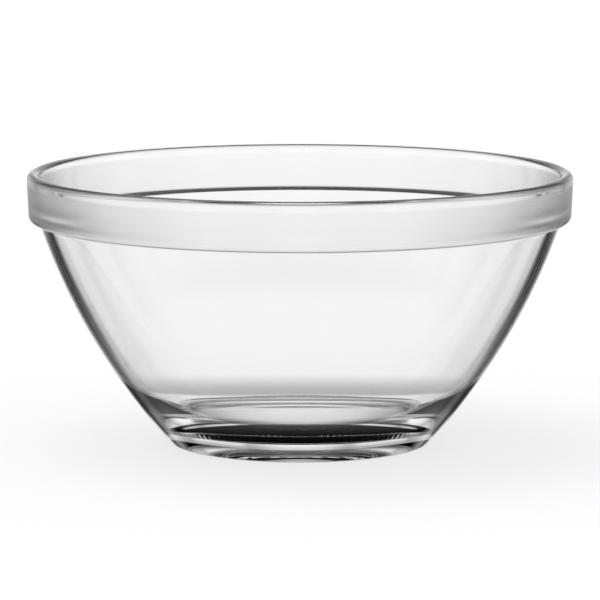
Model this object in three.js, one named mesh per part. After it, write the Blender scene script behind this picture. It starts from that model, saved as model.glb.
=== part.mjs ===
// Stacking salad bowl of clear pressed glass, in millimetres, +Z up.
// The bowl is one piece of glass turned about the Z axis. It stands on Z = 0, and its outline has
// a rounded rim, an upright band below it, a shoulder under the band that rests on the rim of the
// next bowl in a stack, a curved wall, a thick flat floor, and a flat ring round a shallow dome that
// the bowl stands on.
import * as THREE from 'three';

// Overall size
const RIM_DIAMETER = 230;
const HEIGHT = 115;

// Rim and band
const RIM_THICKNESS = 5.4;
const BAND_HEIGHT = 20.6;
const BAND_DRAFT = THREE.MathUtils.degToRad(2.5);
const BAND_EDGE_RADIUS = 3.1;
const SHOULDER_OVERHANG = 5;
const SHOULDER_FILLET = 0.8;

// Wall
const WALL_CURVE_RADIUS = 263;
const WALL_THICKNESS = 4.3;

// Foot and floor
const FOOT_DIAMETER = 109.2;
const HEEL_RADIUS = 1.5;
const STANDING_RING_WIDTH = 3;
const UNDERSIDE_RISE = 5;
const FLOOR_THICKNESS = 11;
const FLOOR_INSET = 6;
const FLOOR_SWEEP_RADIUS = 70;
const FLOOR_CREASE_RADIUS = 1;

// Fineness of the facets
const FACETS_AROUND = 64;
const CHORD_ERROR = 0.06;

// Glass as the photograph shows it: colourless, with a fire-polished surface
const GLASS_COLOUR = 0xf2f6f5;
const GLASS_ROUGHNESS = 0.03;
const GLASS_METALNESS = 0;

// A point of the outline: x is the distance from the axis, y the height.
const point = (x, y) => new THREE.Vector2(x, y);

// The point at a distance from a centre, towards another point.
function towards(centre, target, distance) {
  return target.clone().sub(centre).setLength(distance).add(centre);
}

// The centre of a circle whose middle lies at a height and a distance from another centre,
// on the side away from the axis.
function centreAtHeight(height, from, distance) {
  const rise = height - from.y;
  return point(from.x + Math.sqrt(distance * distance - rise * rise), height);
}

// The centre that lies at one distance from a first point and at another from a second point, on the
// upper side of the line between them.
function centreAtDistances(first, firstDistance, second, secondDistance) {
  const line = second.clone().sub(first);
  const length = line.length();
  const along = (firstDistance ** 2 - secondDistance ** 2 + length ** 2) / (2 * length);
  const across = Math.sqrt(firstDistance ** 2 - along ** 2);
  const direction = line.normalize();
  const sideways = point(-direction.y, direction.x);
  return first.clone().addScaledVector(direction, along).addScaledVector(sideways, across);
}

// Points of the arc about a centre from one end to the other, both included, by the shorter way.
function arc(centre, start, end) {
  const radius = start.distanceTo(centre);
  const first = start.clone().sub(centre).angle();
  const turn = end.clone().sub(centre).angle() - first;
  const sweep = Math.atan2(Math.sin(turn), Math.cos(turn));
  const widestStep = 2 * Math.acos(1 - CHORD_ERROR / radius);
  const steps = Math.max(2, Math.ceil(Math.abs(sweep) / widestStep));
  return Array.from({ length: steps + 1 }, (_, i) => {
    const angle = first + (sweep * i) / steps;
    return point(Math.cos(angle), Math.sin(angle)).multiplyScalar(radius).add(centre);
  });
}

// The centre of the wall's curve, which passes the foot and the wall's top with its hollow side
// towards the axis.
function wallCentre(foot, top) {
  const chord = top.clone().sub(foot);
  const middle = foot.clone().add(top).multiplyScalar(0.5);
  const inward = point(-chord.y, chord.x).normalize();
  const offset = Math.sqrt(WALL_CURVE_RADIUS ** 2 - chord.lengthSq() / 4);
  return middle.addScaledVector(inward, offset);
}

// The outline of the glass, from the axis under the floor, round the outside and over the rim,
// to the axis on top of the floor.
function bowlOutline() {
  const shoulderHeight = HEIGHT - BAND_HEIGHT;
  const foot = point(FOOT_DIAMETER / 2, 0);
  const wallTop = point(RIM_DIAMETER / 2 - SHOULDER_OVERHANG, shoulderHeight);
  const wall = wallCentre(foot, wallTop);

  // Underside: a shallow dome inside the flat standing ring, then the rounded heel
  const heel = centreAtHeight(HEEL_RADIUS, wall, WALL_CURVE_RADIUS - HEEL_RADIUS);
  const ringOuter = point(heel.x, 0);
  const ringInner = point(heel.x - STANDING_RING_WIDTH, 0);
  const domeTop = point(0, UNDERSIDE_RISE);
  const domeRadius = (ringInner.x ** 2 + UNDERSIDE_RISE ** 2) / (2 * UNDERSIDE_RISE);
  const dome = point(0, UNDERSIDE_RISE - domeRadius);
  const wallStart = towards(wall, heel, WALL_CURVE_RADIUS);

  // Shoulder: the hollow corner between the wall and the band's underside
  const corner = centreAtHeight(shoulderHeight - SHOULDER_FILLET, wall, WALL_CURVE_RADIUS + SHOULDER_FILLET);
  const wallEnd = towards(wall, corner, WALL_CURVE_RADIUS);
  const shoulderInner = point(corner.x, shoulderHeight);

  // Band: its side leans in towards its rounded lower edge
  const rimRadius = RIM_THICKNESS / 2;
  const rim = point(RIM_DIAMETER / 2 - rimRadius, HEIGHT - rimRadius);
  const bandNormal = point(Math.cos(BAND_DRAFT), -Math.sin(BAND_DRAFT));
  const bandTop = rim.clone().addScaledVector(bandNormal, rimRadius);
  const edgeHeight = shoulderHeight + BAND_EDGE_RADIUS;
  const bandLean = (bandTop.y - edgeHeight) * Math.tan(BAND_DRAFT);
  const edge = point(bandTop.x - bandLean - BAND_EDGE_RADIUS / Math.cos(BAND_DRAFT), edgeHeight);
  const shoulderOuter = point(edge.x, shoulderHeight);
  const bandBottom = edge.clone().addScaledVector(bandNormal, BAND_EDGE_RADIUS);

  // Inside: the wall's curve, then a flare that meets both the wall and the round rim smoothly
  const innerRadius = WALL_CURVE_RADIUS - WALL_THICKNESS;
  const innerTop = towards(wall, wallTop, innerRadius);
  const inward = wall.clone().sub(innerTop).normalize();
  const fromRim = innerTop.clone().sub(rim);
  const flareRadius = (fromRim.lengthSq() - rimRadius ** 2) / (2 * (rimRadius - fromRim.dot(inward)));
  const flare = innerTop.clone().addScaledVector(inward, flareRadius);
  const rimInner = towards(rim, flare, rimRadius);
  const rimCrest = point(rim.x, HEIGHT);

  // Floor: a flat disc, set in from the line of the wall, with a wide sweep up to the wall that
  // meets the disc in a slight crease
  const wallAtFloor = centreAtHeight(FLOOR_THICKNESS, wall, innerRadius);
  const floorCorner = point(wallAtFloor.x - FLOOR_INSET, FLOOR_THICKNESS);
  const sweep = centreAtDistances(wall, innerRadius - FLOOR_SWEEP_RADIUS, floorCorner, FLOOR_SWEEP_RADIUS);
  const sweepTop = towards(wall, sweep, innerRadius);
  const creaseHeight = FLOOR_THICKNESS + FLOOR_CREASE_RADIUS;
  const crease = centreAtHeight(creaseHeight, sweep, FLOOR_SWEEP_RADIUS - FLOOR_CREASE_RADIUS);
  const sweepBottom = towards(sweep, crease, FLOOR_SWEEP_RADIUS);
  const floorEdge = point(crease.x, FLOOR_THICKNESS);
  const floorCentre = point(0, FLOOR_THICKNESS);

  const stretches = [
    arc(dome, domeTop, ringInner),
    arc(heel, ringOuter, wallStart),
    arc(wall, wallStart, wallEnd),
    arc(corner, wallEnd, shoulderInner),
    arc(edge, shoulderOuter, bandBottom),
    arc(rim, bandTop, rimCrest),
    arc(rim, rimCrest, rimInner),
    arc(flare, rimInner, innerTop),
    arc(wall, innerTop, sweepTop),
    arc(sweep, sweepTop, sweepBottom),
    arc(crease, sweepBottom, floorEdge),
    [floorCentre],
  ];
  return stretches.flat();
}

// The outline without the points that two neighbouring stretches share.
function withoutRepeats(points) {
  const closest = 1e-6;
  return points.filter((p, i) => i === 0 || p.distanceTo(points[i - 1]) > closest);
}

function makeBowl() {
  const geometry = new THREE.LatheGeometry(withoutRepeats(bowlOutline()), FACETS_AROUND);
  geometry.rotateX(Math.PI / 2);
  const material = new THREE.MeshStandardMaterial({
    color: GLASS_COLOUR,
    roughness: GLASS_ROUGHNESS,
    metalness: GLASS_METALNESS,
  });
  const mesh = new THREE.Mesh(geometry, material);
  mesh.name = 'bowl';
  return mesh;
}

const saladBowl = new THREE.Group();
saladBowl.add(makeBowl());

export default saladBowl;
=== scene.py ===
"""Clear pressed glass salad bowl on a pale floor, laid out as an add-on and run as a script.

The bowl is one piece of glass, turned about the Z axis: a rounded rim, an upright stacking band, a
shoulder under it, a curved wall, a thick flat floor, and a standing ring round a shallow dome.
"""

import math

import bpy
import numpy as np
from bpy.props import FloatProperty, FloatVectorProperty, IntProperty, PointerProperty
from bpy.types import Operator, Panel, PropertyGroup
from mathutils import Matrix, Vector


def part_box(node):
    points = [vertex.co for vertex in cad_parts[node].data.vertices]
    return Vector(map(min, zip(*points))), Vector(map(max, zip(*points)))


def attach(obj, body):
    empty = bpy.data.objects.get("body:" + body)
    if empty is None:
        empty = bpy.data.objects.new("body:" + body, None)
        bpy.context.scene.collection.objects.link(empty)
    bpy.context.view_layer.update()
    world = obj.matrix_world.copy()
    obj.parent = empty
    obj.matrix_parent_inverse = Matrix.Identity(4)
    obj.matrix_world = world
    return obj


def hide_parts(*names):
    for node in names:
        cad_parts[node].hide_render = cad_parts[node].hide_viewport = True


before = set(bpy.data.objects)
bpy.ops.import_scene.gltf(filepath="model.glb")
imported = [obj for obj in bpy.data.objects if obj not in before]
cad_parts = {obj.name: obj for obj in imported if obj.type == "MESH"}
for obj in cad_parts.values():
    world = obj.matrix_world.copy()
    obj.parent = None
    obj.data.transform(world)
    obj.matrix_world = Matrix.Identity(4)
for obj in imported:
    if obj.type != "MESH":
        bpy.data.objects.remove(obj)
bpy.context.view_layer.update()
BOWL_LOW, BOWL_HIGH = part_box("bowl")

bl_info = {
    "name": "Glass salad bowl",
    "version": (1, 0, 0),
    "blender": (4, 5, 0),
    "location": "View3D > Sidebar > Salad bowl",
    "description": "Makes a stacking salad bowl of clear pressed glass and the stage it stands on",
    "category": "Add Mesh",
}

# Light that the glass shows, as pairs of a height over the horizon in degrees and a grey
PANEL_LIGHT = ((-90, 0.85), (-48, 0.85), (-32, 0.9), (-18, 1.0), (3, 1.0), (12, 0.7), (22, 0.3), (50, 0.06))
GAP_LIGHT = (
    (-90, 0.85), (-40, 0.85), (-28, 0.8), (-22, 0.15), (-16, 0.03), (-12.5, 0.05), (-9, 0.7),
    (-6, 0.9), (5, 0.9), (12, 0.5), (22, 0.15), (50, 0.06)
)
TABLE_AND_CEILING_LIGHT = ((-90, 0.85), (-46, 0.85), (-32, 0.0), (45, 0.0), (65, 0.06), (90, 0.06))
# How a panel fades from its middle to its edge, as pairs of an angle in degrees and a share of its light
PANEL_FADE = ((0, 1.0), (3, 1.0), (5, 0.96), (7, 0.88), (9, 0.74), (11, 0.62), (13, 0.55))

# Half the angle from one panel to the next
HALF_PITCH = math.pi / 8

# Shade on the table, as pairs of a distance from the axis in metres and a share of black
STEEP_SHADE = ((0.024, 0.0), (0.036, 1.0), (0.064, 1.0), (0.074, 0.0))
WIDE_SHADE = ((0.072, 0.0), (0.082, 0.5), (0.132, 0.0))
FAR_SHADE = ((0.150, 0.0), (0.185, 1.0), (0.270, 1.0), (0.310, 0.0))
# Cosine of the look at which the far shade sets in and is full, and half such a step for the near shade
FAR_TILT = (0.60, 0.78)
HALF_TILT_STEP = 0.06

# Smears on the glass: their size in metres, and the noise at which one begins and is full
SMEAR_SIZE = 0.045
SMEAR_STEP = (0.5, 0.8)

# Where the ribs of the standing ring fade, from its middle outwards and from the table upwards, in metres
RIB_FADE_OUT = (0.0015, 0.0025)
RIB_FADE_UP = (0.0005, 0.0012)

# Where the duller finish of the band fades, in metres: up from the shoulder, out from the middle of the
# rim, and the depths under the rim's top between which it gives way to the polish
HAZE_RISE = 0.002
HAZE_SIDE = 0.001
HAZE_TOP = (0.005, 0.003)

# Floor, shade and lamp of the stage, in metres
FLOOR_RADIUS = 40.0
FLOOR_HEIGHT = -0.0002
SHADE_HEIGHT = -0.0004
FLOOR_PATCH_SIZE = 0.4
FLOOR_PATCH_COLOUR = (0.8, 0.8, 0.8)
FLOOR_PATCH_SHARE = 0.02
FLOOR_ROUGHNESS = 0.9
LAMP_PLACE = (-0.5, 0.3, 1.5)
WHITE = (1.0, 1.0, 1.0)


def length(name, description, default):
    """A size in metres."""
    return FloatProperty(
        name=name, description=description, default=default, min=0.0, precision=5, unit="LENGTH"
    )


def share(name, description, default):
    """A number from 0 to 1."""
    return FloatProperty(
        name=name, description=description, default=default, min=0.0, max=1.0, subtype="FACTOR"
    )


def angle(name, description, degrees):
    """An angle, given here in degrees."""
    return FloatProperty(name=name, description=description, default=math.radians(degrees), subtype="ANGLE")


def colour(name, description, default):
    """A colour without alpha."""
    return FloatVectorProperty(
        name=name, description=description, default=default, size=3, min=0.0, max=1.0, subtype="COLOR"
    )


class SALADBOWL_PG_sizes(PropertyGroup):
    """Sizes of the glass."""

    rim_diameter: length("Rim diameter", "Width over the rim", BOWL_HIGH.x - BOWL_LOW.x)
    height: length("Height", "From the standing ring to the top of the rim", BOWL_HIGH.z - BOWL_LOW.z)
    rim_thickness: length("Rim thickness", "Diameter of the rounded rim's section", 0.0054)
    band_height: length("Band height", "From the shoulder to the top of the rim", 0.0206)
    band_draft: angle("Band draft", "How far the band's side leans in towards its lower edge", 2.5)
    band_edge_radius: length("Band edge radius", "Rounding of the band's lower edge", 0.0031)
    shoulder_overhang: length("Shoulder overhang", "From the rim's width in to the top of the wall", 0.005)
    shoulder_fillet: length("Shoulder fillet", "Rounding of the hollow corner under the band", 0.0008)
    wall_curve_radius: length("Wall curve", "Radius of the wall's upright curve", 0.263)
    wall_thickness: length("Wall thickness", "Thickness of the glass in the wall", 0.0043)
    foot_diameter: length("Foot diameter", "Width of the wall's curve at the floor", 0.1092)
    heel_radius: length("Heel radius", "Rounding from the wall to the standing ring", 0.0015)
    standing_ring_width: length("Standing ring", "Width of the flat ring that the bowl stands on", 0.003)
    underside_rise: length("Underside rise", "Height of the shallow dome inside the standing ring", 0.005)
    floor_thickness: length("Floor thickness", "Height of the inner floor over the standing ring", 0.011)
    floor_inset: length("Floor inset", "From the line of the inner wall to the floor's edge", 0.006)
    floor_sweep_radius: length("Floor sweep", "Radius of the sweep from the floor to the wall", 0.07)
    floor_crease_radius: length("Floor crease", "Rounding where the sweep meets the flat floor", 0.001)
    facets_around: IntProperty(name="Facets around", description="Steps round the axis", default=288, min=16)


class SALADBOWL_PG_glass(PropertyGroup):
    """Finish of the glass."""

    clear: colour("Clear glass", "Colour of the clean glass", (0.999, 0.999, 0.998))
    hazy: colour("Hazy glass", "Colour where rinsing has left a trace", (0.99, 0.991, 0.989))
    ior: FloatProperty(
        name="IOR", description="Index of refraction of the glass", default=1.5, min=1.0, max=3.0
    )
    polish: share("Polish roughness", "Roughness of the fire-polished surface", 0.004)
    smear: share("Smear roughness", "Roughness added where the glass is least clean", 0.012)
    band_haze: share("Band haze", "Roughness added on the outer side of the band", 0.3)
    wave_size: length("Wave size", "Width of the soft waves that pressing leaves in the glass", 0.03)
    wave_depth: length("Wave depth", "Depth of the soft waves", 0.00002)
    rib_count: IntProperty(name="Ribs", description="Small ribs round the standing ring", default=120, min=1)
    rib_depth: length("Rib depth", "Depth of the ribs on the standing ring", 0.00005)


class SALADBOWL_PG_stage(PropertyGroup):
    """Camera, floor and light."""

    camera_distance: length("Camera distance", "From the bowl's axis to the camera, along the floor", 1.75)
    camera_height: length("Camera height", "Height of the camera over the floor", 0.3058)
    target_height: length("Target height", "Height of the point on the axis that the camera looks at", 0.06007)
    lens: FloatProperty(
        name="Lens", description="Focal length on a 36 mm sensor", default=250.4, min=1.0, unit="CAMERA"
    )
    floor_colour: colour("Floor", "Colour of the pale floor", (0.93, 0.93, 0.93))
    floor_whiteness: share("Floor whiteness", "How far the camera sees the floor as white as the room", 0.75)
    room_strength: FloatProperty(name="Room light", description="Even light of the room", default=0.85, min=0.0)
    lamp_strength: FloatProperty(
        name="Lamp strength",
        description="Light of the soft lamp on a level surface, in watts per square metre",
        default=0.9,
        min=0.0,
    )
    lamp_spread: angle("Lamp spread", "Angle that the soft lamp takes up, seen from the bowl", 50.0)
    panel_half_width: angle("Panel half width", "Half the angle that each bright panel takes up", 13.5)
    panel_softness: angle("Panel softness", "Angle over which a panel fades into the dark gap", 3.5)
    slit_width: angle("Slit width", "Half the angle of the narrow light in the middle of each dark gap", 1.2)
    slit_strength: share("Slit strength", "Brightness of the narrow light in the gaps", 0.3)
    shade_reach: length("Shade reach", "Radius of the table's part that shows the shade", 0.32)
    shade_tilt: share("Shade tilt", "Cosine of the look at which the shade of the foot sets in", 0.54)


class Value:
    """A socket that holds a number. An expression on it adds the Math nodes that work it out."""

    def __init__(self, shader, socket):
        self.shader = shader
        self.socket = socket

    def __add__(self, other):
        return self.shader.math("ADD", self, other)

    def __radd__(self, other):
        return self.shader.math("ADD", other, self)

    def __sub__(self, other):
        return self.shader.math("SUBTRACT", self, other)

    def __rsub__(self, other):
        return self.shader.math("SUBTRACT", other, self)

    def __mul__(self, other):
        return self.shader.math("MULTIPLY", self, other)

    def __rmul__(self, other):
        return self.shader.math("MULTIPLY", other, self)

    def __truediv__(self, other):
        return self.shader.math("DIVIDE", self, other)

    def __rtruediv__(self, other):
        return self.shader.math("DIVIDE", other, self)


class Shader:
    """A node tree under construction."""

    def __init__(self, tree):
        self.tree = tree
        tree.nodes.clear()

    def node(self, kind, settings=None, sockets=None):
        """A new node: its settings are set first, then the values or links of its sockets. A ramp's
        stops are pairs of a place and a grey."""
        made = self.tree.nodes.new(kind)
        for name, setting in (settings or {}).items():
            if name == "stops":
                self.put_stops(made.color_ramp, setting)
            elif name == "interpolation":
                made.color_ramp.interpolation = setting
            else:
                setattr(made, name, setting)
        for name, value in (sockets or {}).items():
            if isinstance(value, Value):
                value = value.socket
            if isinstance(value, bpy.types.NodeSocket):
                self.tree.links.new(value, made.inputs[name])
            else:
                made.inputs[name].default_value = value
        return made

    @staticmethod
    def put_stops(ramp, stops):
        """Gives a new ramp these stops in place of its own two."""
        ramp.elements.remove(ramp.elements[-1])
        ramp.elements[0].position = stops[0][0]
        ramp.elements[0].color = (*[stops[0][1]] * 3, 1.0)
        for place, grey in stops[1:]:
            ramp.elements.new(place).color = (grey, grey, grey, 1.0)

    def value(self, made, output=0):
        """An output of a node, by its number or name, as a value to calculate with."""
        return Value(self, made.outputs[output])

    def math(self, operation, *values):
        """A Math node's result."""
        return self.value(self.node("ShaderNodeMath", {"operation": operation}, dict(enumerate(values))))

    def ramp(self, value, stops, interpolation="EASE"):
        """A grey that follows the stops as value goes from 0 to 1."""
        settings = {"stops": stops, "interpolation": interpolation}
        return self.value(self.node("ShaderNodeValToRGB", settings, {"Fac": value}))

    def smooth_step(self, value, low, high):
        """0 below low, 1 above high, and an S-shaped rise between them."""
        settings = {"interpolation_type": "SMOOTHSTEP"}
        sockets = {"Value": value, "From Min": low, "From Max": high}
        return self.value(self.node("ShaderNodeMapRange", settings, sockets))

    def noise(self, place, size, detail=2.0):
        """Soft noise from 0 to 1 with lumps of about the given size in metres."""
        sockets = {"Vector": place, "Scale": 1.0 / size, "Detail": detail}
        return self.value(self.node("ShaderNodeTexNoise", {}, sockets))

    def mix_colours(self, factor, first, second):
        """The first colour where factor is 0, the second where it is 1."""
        made = self.node("ShaderNodeMix", {"data_type": "RGBA"}, {0: factor, 6: first, 7: second})
        return made.outputs[2]


def opaque(rgb):
    return (*rgb, 1.0)


def new_material(name):
    material = bpy.data.materials.new(name)
    material.use_nodes = True
    return material, Shader(material.node_tree)


def towards(centre, target, distance):
    """The point at a distance from a centre, towards another point."""
    line = target - centre
    return centre + line * (distance / np.hypot(*line))


def centre_at_height(height, start, distance):
    """The point at a height and at a distance from another point, on the side away from the axis."""
    rise = height - start[1]
    return np.array((start[0] + math.sqrt(distance**2 - rise**2), height))


def centre_at_distances(first, first_distance, second, second_distance):
    """The point at one distance from a first point and another from a second one, on the upper side of
    the line between them: along the line by the cosine rule, then square to it by Pythagoras."""
    line = second - first
    span = np.hypot(*line)
    along = (first_distance**2 - second_distance**2 + span**2) / (2 * span)
    across = math.sqrt(first_distance**2 - along**2)
    direction = line / span
    return first + direction * along + np.array((-direction[1], direction[0])) * across


def arc(centre, start, end, count):
    """Points of a circle from start to end by the shorter way: centre + radius (cos a, sin a), where a
    goes evenly from the one end's angle to the other's."""
    first = math.atan2(start[1] - centre[1], start[0] - centre[0])
    last = math.atan2(end[1] - centre[1], end[0] - centre[0])
    turn = (last - first + math.pi) % (2 * math.pi) - math.pi
    a = first + turn * np.linspace(0.0, 1.0, count)
    return centre + np.hypot(*(start - centre)) * np.column_stack((np.cos(a), np.sin(a)))


def straight(start, end, count):
    """Points between two ends, which are left out: start + (end - start) t, with t evenly between."""
    t = np.linspace(0.0, 1.0, count + 2)[1:-1, None]
    return start + (end - start) * t


def bowl_outline(sizes):
    """The section of the glass as (radius, height) pairs, from the axis under the floor, round the
    outside and over the rim, to the axis on top of the floor. It is made of arcs and of straight
    stretches between them, each with its own count of points."""
    shoulder_height = sizes.height - sizes.band_height
    wall_curve = sizes.wall_curve_radius
    foot = np.array((sizes.foot_diameter / 2, 0.0))
    wall_top = np.array((sizes.rim_diameter / 2 - sizes.shoulder_overhang, shoulder_height))
    chord = wall_top - foot
    span = np.hypot(*chord)
    inward = np.array((-chord[1], chord[0])) / span
    wall = (foot + wall_top) / 2 + inward * math.sqrt(wall_curve**2 - span**2 / 4)

    heel = centre_at_height(sizes.heel_radius, wall, wall_curve - sizes.heel_radius)
    ring_outer = np.array((heel[0], 0.0))
    ring_inner = np.array((heel[0] - sizes.standing_ring_width, 0.0))
    rise = sizes.underside_rise
    dome_top = np.array((0.0, rise))
    dome = np.array((0.0, rise - (ring_inner[0] ** 2 + rise**2) / (2 * rise)))
    wall_start = towards(wall, heel, wall_curve)

    fillet = sizes.shoulder_fillet
    corner = centre_at_height(shoulder_height - fillet, wall, wall_curve + fillet)
    wall_end = towards(wall, corner, wall_curve)
    shoulder_inner = np.array((corner[0], shoulder_height))

    rim_radius = sizes.rim_thickness / 2
    rim = np.array((sizes.rim_diameter / 2 - rim_radius, sizes.height - rim_radius))
    rim_crest = np.array((rim[0], sizes.height))
    draft = sizes.band_draft
    band_normal = np.array((math.cos(draft), -math.sin(draft)))
    band_top = rim + band_normal * rim_radius
    edge_height = shoulder_height + sizes.band_edge_radius
    lean = (band_top[1] - edge_height) * math.tan(draft)
    edge = np.array((band_top[0] - lean - sizes.band_edge_radius / math.cos(draft), edge_height))
    shoulder_outer = np.array((edge[0], shoulder_height))
    band_bottom = edge + band_normal * sizes.band_edge_radius

    inner_curve = wall_curve - sizes.wall_thickness
    inner_top = towards(wall, wall_top, inner_curve)
    normal = (wall - inner_top) / np.hypot(*(wall - inner_top))
    from_rim = inner_top - rim
    flare_radius = (from_rim @ from_rim - rim_radius**2) / (2 * (rim_radius - from_rim @ normal))
    flare = inner_top + normal * flare_radius
    rim_inner = towards(rim, flare, rim_radius)

    thickness = sizes.floor_thickness
    sweep_radius = sizes.floor_sweep_radius
    crease_radius = sizes.floor_crease_radius
    wall_at_floor = centre_at_height(thickness, wall, inner_curve)
    floor_corner = wall_at_floor - np.array((sizes.floor_inset, 0.0))
    sweep = centre_at_distances(wall, inner_curve - sweep_radius, floor_corner, sweep_radius)
    sweep_top = towards(wall, sweep, inner_curve)
    crease = centre_at_height(thickness + crease_radius, sweep, sweep_radius - crease_radius)
    sweep_bottom = towards(sweep, crease, sweep_radius)
    floor_edge = np.array((crease[0], thickness))
    floor_centre = np.array((0.0, thickness))

    stretches = [
        arc(dome, dome_top, ring_inner, 18),
        straight(ring_inner, ring_outer, 4),
        arc(heel, ring_outer, wall_start, 14),
        arc(wall, wall_start, wall_end, 56)[1:],
        arc(corner, wall_end, shoulder_inner, 10)[1:],
        straight(shoulder_inner, shoulder_outer, 2),
        arc(edge, shoulder_outer, band_bottom, 14),
        straight(band_bottom, band_top, 6),
        arc(rim, band_top, rim_crest, 13),
        arc(rim, rim_crest, rim_inner, 14)[1:],
        arc(flare, rim_inner, inner_top, 18)[1:],
        arc(wall, inner_top, sweep_top, 46)[1:],
        arc(sweep, sweep_top, sweep_bottom, 22)[1:],
        arc(crease, sweep_bottom, floor_edge, 12)[1:],
        straight(floor_edge, floor_centre, 10),
        floor_centre[None],
    ]
    return np.concatenate(stretches)


def turned_mesh(name, outline, around):
    """The outline turned about Z: the point (r, z) at the angle v lies at (r cos v, r sin v, z). Both
    ends lie on the axis, where a fan of triangles about one vertex closes the surface."""
    v = np.linspace(0.0, 2 * math.pi, around, endpoint=False)
    r, z = outline[1:-1].T
    flat = np.ones(around)
    grid = np.stack((np.outer(r, np.cos(v)), np.outer(r, np.sin(v)), np.outer(z, flat)), axis=-1)
    ends = np.array(((0.0, 0.0, outline[0, 1]), (0.0, 0.0, outline[-1, 1])))
    points = np.concatenate((grid.reshape(-1, 3), ends))

    index = np.arange(len(r) * around).reshape(len(r), around)
    turned = np.roll(index, -1, axis=1)
    quads = np.stack((index[:-1], turned[:-1], turned[1:], index[1:]), axis=-1).reshape(-1)
    below, above = len(points) - 2, len(points) - 1
    first = np.stack((np.full(around, below), turned[0], index[0]), axis=-1).reshape(-1)
    last = np.stack((np.full(around, above), index[-1], turned[-1]), axis=-1).reshape(-1)
    corners = np.concatenate((quads, first, last))
    sides = np.concatenate((np.full(len(quads) // 4, 4), np.full(2 * around, 3)))
    return filled_mesh(name, points, corners, sides)


def filled_mesh(name, points, corners, sides):
    """A smooth mesh from its points, the corners of all faces in a row, and each face's corner count."""
    mesh = bpy.data.meshes.new(name)
    mesh.vertices.add(len(points))
    mesh.vertices.foreach_set("co", points.astype(np.float32).ravel())
    mesh.loops.add(len(corners))
    mesh.loops.foreach_set("vertex_index", corners.astype(np.int32))
    mesh.polygons.add(len(sides))
    mesh.polygons.foreach_set("loop_start", (np.cumsum(sides) - sides).astype(np.int32))
    mesh.polygons.foreach_set("use_smooth", np.ones(len(sides), dtype=bool))
    mesh.update(calc_edges=True)
    if mesh.validate():
        raise RuntimeError(f"the mesh of {name} had faults")
    return mesh


def disc_mesh(name, radius, height, around=96):
    """A flat disc: the point at (t, v) lies at (radius t cos v, radius t sin v, height), for a ring at
    half the radius, a ring at the edge and one vertex in the middle."""
    v = np.linspace(0.0, 2 * math.pi, around, endpoint=False)
    r = radius * np.array((0.5, 1.0))
    heights = np.full((2, around), height)
    rings = np.stack((np.outer(r, np.cos(v)), np.outer(r, np.sin(v)), heights), axis=-1)
    points = np.concatenate((rings.reshape(-1, 3), [(0.0, 0.0, height)]))
    index = np.arange(2 * around).reshape(2, around)
    turned = np.roll(index, -1, axis=1)
    quads = np.stack((index[0], index[1], turned[1], turned[0]), axis=-1).reshape(-1)
    fan = np.stack((np.full(around, 2 * around), index[0], turned[0]), axis=-1).reshape(-1)
    sides = np.concatenate((np.full(around, 4), np.full(around, 3)))
    return filled_mesh(name, points, np.concatenate((quads, fan)), sides)


def new_object(name, data):
    made = bpy.data.objects.new(name, data)
    bpy.context.scene.collection.objects.link(made)
    return made


def clear_glass(finish, sizes):
    """Fire-polished glass: clear, with faint smears that dull it a little, soft waves from pressing,
    small ribs on the standing ring, and a duller outer side of the band."""
    material, shader = new_material("clear_glass")
    place = shader.node("ShaderNodeTexCoord").outputs["Object"]
    parts = shader.node("ShaderNodeSeparateXYZ", {}, {"Vector": place})
    x, y, z = (shader.value(parts, i) for i in range(3))

    smears = shader.smooth_step(shader.noise(place, SMEAR_SIZE, detail=4.0), *SMEAR_STEP)
    waves = shader.noise(place, finish.wave_size, detail=1.0)

    out = shader.math("SQRT", x * x + y * y)
    turn = shader.math("ARCTAN2", y, x)
    ring_middle = sizes.foot_diameter / 2 - sizes.heel_radius - sizes.standing_ring_width / 2
    on_ring = 1 - shader.smooth_step(shader.math("ABSOLUTE", out - ring_middle), *RIB_FADE_OUT)
    near_foot = 1 - shader.smooth_step(z, *RIB_FADE_UP)
    ribs = shader.math("SINE", turn * float(finish.rib_count)) * on_ring * near_foot

    shoulder = sizes.height - sizes.band_height
    rim_middle = sizes.rim_diameter / 2 - sizes.rim_thickness / 2
    above = shader.smooth_step(z, shoulder, shoulder + HAZE_RISE)
    below = 1 - shader.smooth_step(z, sizes.height - HAZE_TOP[0], sizes.height - HAZE_TOP[1])
    on_band = shader.smooth_step(out, rim_middle, rim_middle + HAZE_SIDE) * above * below

    wave_bump = shader.node(
        "ShaderNodeBump", {}, {"Strength": 1.0, "Distance": finish.wave_depth, "Height": waves}
    )
    rib_bump = shader.node(
        "ShaderNodeBump",
        {},
        {
            "Strength": 1.0,
            "Distance": finish.rib_depth,
            "Height": ribs,
            "Normal": wave_bump.outputs["Normal"],
        },
    )
    surface = shader.node(
        "ShaderNodeBsdfPrincipled",
        {},
        {
            "Base Color": shader.mix_colours(smears, opaque(finish.clear), opaque(finish.hazy)),
            "Roughness": finish.polish + smears * finish.smear + on_band * finish.band_haze,
            "IOR": finish.ior,
            "Transmission Weight": 1.0,
            "Normal": rib_bump.outputs["Normal"],
        },
    )
    shader.node("ShaderNodeOutputMaterial", {}, {"Surface": surface.outputs[0]})
    return material


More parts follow.
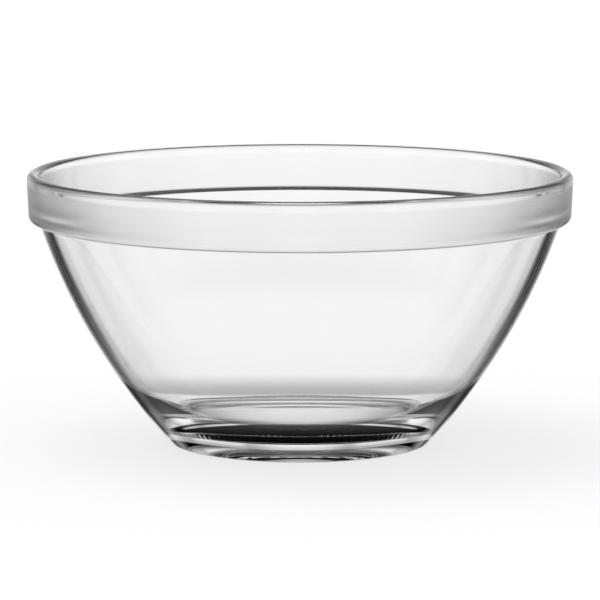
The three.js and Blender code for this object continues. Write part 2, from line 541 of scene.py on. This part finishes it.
def pale_floor(stage):
    """Matt pale floor with a hardly visible unevenness. To the camera it is mostly as white as the room,
    so that it keeps only a faint shadow of the bowl."""
    material, shader = new_material("pale_floor")
    place = shader.node("ShaderNodeTexCoord").outputs["Object"]
    patches = shader.noise(place, FLOOR_PATCH_SIZE) * FLOOR_PATCH_SHARE
    colours = shader.mix_colours(patches, opaque(stage.floor_colour), opaque(FLOOR_PATCH_COLOUR))
    matt = shader.node(
        "ShaderNodeBsdfPrincipled",
        {},
        {"Base Color": colours, "Roughness": FLOOR_ROUGHNESS, "Specular IOR Level": 0.0},
    )
    white = shader.node("ShaderNodeEmission", {}, {"Color": opaque(WHITE), "Strength": 1.0})
    by_camera = shader.value(shader.node("ShaderNodeLightPath"), "Is Camera Ray")
    mixed = shader.node(
        "ShaderNodeMixShader",
        {},
        {0: by_camera * stage.floor_whiteness, 1: matt.outputs[0], 2: white.outputs[0]},
    )
    shader.node("ShaderNodeOutputMaterial", {}, {"Surface": mixed.outputs[0]})
    return material


def foot_shade(stage):
    """The shade on the table as the glass shows it: black close to the foot and in a wide ring farther
    out, where the look at the table is steep, with a soft grey between them. At a flat look the disc is
    clear where it is black otherwise, so that the light room shows, as it would on a polished top."""
    material, shader = new_material("foot_shade")
    place = shader.node("ShaderNodeTexCoord").outputs["Object"]
    length_node = shader.node("ShaderNodeVectorMath", {"operation": "LENGTH"}, {0: place})
    out = shader.value(length_node, "Value") / stage.shade_reach

    def ring(pairs):
        return shader.ramp(out, [(distance / stage.shade_reach, dark) for distance, dark in pairs])

    facing = 1 - shader.value(shader.node("ShaderNodeLayerWeight", {}, {"Blend": 0.5}), "Facing")
    steep = shader.smooth_step(facing, stage.shade_tilt - HALF_TILT_STEP, stage.shade_tilt + HALF_TILT_STEP)
    at_foot = ring(STEEP_SHADE) * steep
    far_out = ring(FAR_SHADE) * shader.smooth_step(facing, *FAR_TILT)
    dark = shader.math("MAXIMUM", shader.math("MAXIMUM", at_foot, far_out), ring(WIDE_SHADE))
    clear = shader.node("ShaderNodeBsdfTransparent")
    black = shader.node("ShaderNodeEmission", {}, {"Strength": 0.0})
    mixed = shader.node("ShaderNodeMixShader", {}, {0: dark, 1: clear.outputs[0], 2: black.outputs[0]})
    shader.node("ShaderNodeOutputMaterial", {}, {"Surface": mixed.outputs[0]})
    return material


def room_light(stage):
    """The room. The camera sees white, and matt surfaces get an even light. Glass also shows the eight
    bright panels that stand round the table, an eighth of a turn apart, the dark gaps between them, each
    with a narrow light in its middle, the pale table and the dim ceiling."""
    world = bpy.data.worlds.new("room_light")
    world.use_nodes = True
    shader = Shader(world.node_tree)
    place = shader.node("ShaderNodeTexCoord").outputs["Generated"]
    parts = shader.node("ShaderNodeSeparateXYZ", {}, {"Vector": place})
    x, y, z = (shader.value(parts, i) for i in range(3))
    height = shader.math("ARCSINE", z) / math.pi + 0.5

    def by_height(pairs):
        return shader.ramp(height, [(degrees / 180 + 0.5, grey) for degrees, grey in pairs])

    off_panel = shader.math("PINGPONG", shader.math("ARCTAN2", y, x), HALF_PITCH)
    edge = stage.panel_half_width
    half_soft = stage.panel_softness / 2
    gap = shader.smooth_step(off_panel, edge - half_soft, edge + half_soft)
    slit = 1 - shader.smooth_step(HALF_PITCH - off_panel, 0.0, stage.slit_width)
    in_gap = shader.math("MAXIMUM", by_height(GAP_LIGHT), slit * stage.slit_strength)
    fade = shader.ramp(off_panel / math.pi, [(degrees / 180, grey) for degrees, grey in PANEL_FADE])
    on_panel = by_height(PANEL_LIGHT) * fade
    round_about = on_panel + gap * (in_gap - on_panel)
    seen_in_glass = shader.math("MAXIMUM", round_about, by_height(TABLE_AND_CEILING_LIGHT))

    path = shader.node("ShaderNodeLightPath")
    by_camera = shader.value(path, "Is Camera Ray")
    by_glossy = shader.value(path, "Is Glossy Ray")
    by_glass = shader.math("MAXIMUM", by_glossy, shader.value(path, "Is Transmission Ray"))
    matt = 1 - shader.math("MAXIMUM", by_camera, by_glass)
    grey = by_camera + by_glass * seen_in_glass * (1 - by_camera) + matt * stage.room_strength
    light = shader.node("ShaderNodeBackground", {}, {"Color": grey, "Strength": 1.0})
    shader.node("ShaderNodeOutputWorld", {}, {"Surface": light.outputs[0]})
    return world


class SALADBOWL_OT_bowl(Operator):
    """Makes the glass bowl, which stands for the solid of the frame"""

    bl_idname = "salad_bowl.bowl"
    bl_label = "Glass bowl"

    def execute(self, context):
        sizes = context.scene.salad_bowl_sizes
        mesh = turned_mesh("glass_bowl", bowl_outline(sizes), sizes.facets_around)
        mesh.materials.append(clear_glass(context.scene.salad_bowl_glass, sizes))
        bowl = new_object("glass_bowl", mesh)
        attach(bowl, "root")
        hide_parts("bowl")
        return {"FINISHED"}


class SALADBOWL_OT_stage(Operator):
    """Sets up the camera, the pale floor and the light"""

    bl_idname = "salad_bowl.stage"
    bl_label = "Stage"

    def execute(self, context):
        scene = context.scene
        stage = scene.salad_bowl_stage
        scene.view_settings.view_transform = "Standard"
        scene.world = room_light(stage)

        camera_data = bpy.data.cameras.new("camera")
        camera_data.sensor_width = 36.0
        camera_data.lens = stage.lens
        camera = new_object("camera", camera_data)
        camera.location = (0.0, -stage.camera_distance, stage.camera_height)
        view = Vector((0.0, 0.0, stage.target_height)) - camera.location
        camera.rotation_euler = view.to_track_quat("-Z", "Y").to_euler()
        scene.camera = camera

        floor = new_object("floor", disc_mesh("floor", FLOOR_RADIUS, FLOOR_HEIGHT))
        floor.data.materials.append(pale_floor(stage))
        floor.visible_glossy = False
        floor.visible_transmission = False

        shade = new_object("foot_shade", disc_mesh("foot_shade", stage.shade_reach, SHADE_HEIGHT))
        shade.data.materials.append(foot_shade(stage))
        shade.visible_camera = False
        shade.visible_diffuse = False
        shade.visible_shadow = False

        lamp_data = bpy.data.lights.new("soft_lamp", "SUN")
        lamp_data.energy = stage.lamp_strength
        lamp_data.angle = stage.lamp_spread
        lamp = new_object("soft_lamp", lamp_data)
        lamp.location = LAMP_PLACE
        lamp.rotation_euler = (-lamp.location).to_track_quat("-Z", "Y").to_euler()
        lamp.visible_glossy = False
        lamp.visible_transmission = False
        return {"FINISHED"}


class SALADBOWL_PT_panel(Panel):
    """Lists the sizes, the finish and the stage"""

    bl_idname = "SALADBOWL_PT_panel"
    bl_label = "Salad bowl"
    bl_space_type = "VIEW_3D"
    bl_region_type = "UI"
    bl_category = "Salad bowl"

    def draw(self, context):
        for group, operator in (
            (context.scene.salad_bowl_sizes, SALADBOWL_OT_bowl.bl_idname),
            (context.scene.salad_bowl_glass, None),
            (context.scene.salad_bowl_stage, SALADBOWL_OT_stage.bl_idname),
        ):
            box = self.layout.box()
            for name in group.__annotations__:
                box.prop(group, name)
            if operator:
                box.operator(operator)


CLASSES = (
    SALADBOWL_PG_sizes,
    SALADBOWL_PG_glass,
    SALADBOWL_PG_stage,
    SALADBOWL_OT_bowl,
    SALADBOWL_OT_stage,
    SALADBOWL_PT_panel,
)


def register():
    for made in CLASSES:
        bpy.utils.register_class(made)
    bpy.types.Scene.salad_bowl_sizes = PointerProperty(type=SALADBOWL_PG_sizes)
    bpy.types.Scene.salad_bowl_glass = PointerProperty(type=SALADBOWL_PG_glass)
    bpy.types.Scene.salad_bowl_stage = PointerProperty(type=SALADBOWL_PG_stage)


def unregister():
    del bpy.types.Scene.salad_bowl_stage
    del bpy.types.Scene.salad_bowl_glass
    del bpy.types.Scene.salad_bowl_sizes
    for made in reversed(CLASSES):
        bpy.utils.unregister_class(made)


def main():
    register()
    bpy.ops.salad_bowl.bowl()
    bpy.ops.salad_bowl.stage()
    bpy.context.view_layer.update()


if __name__ == "__main__":
    main()
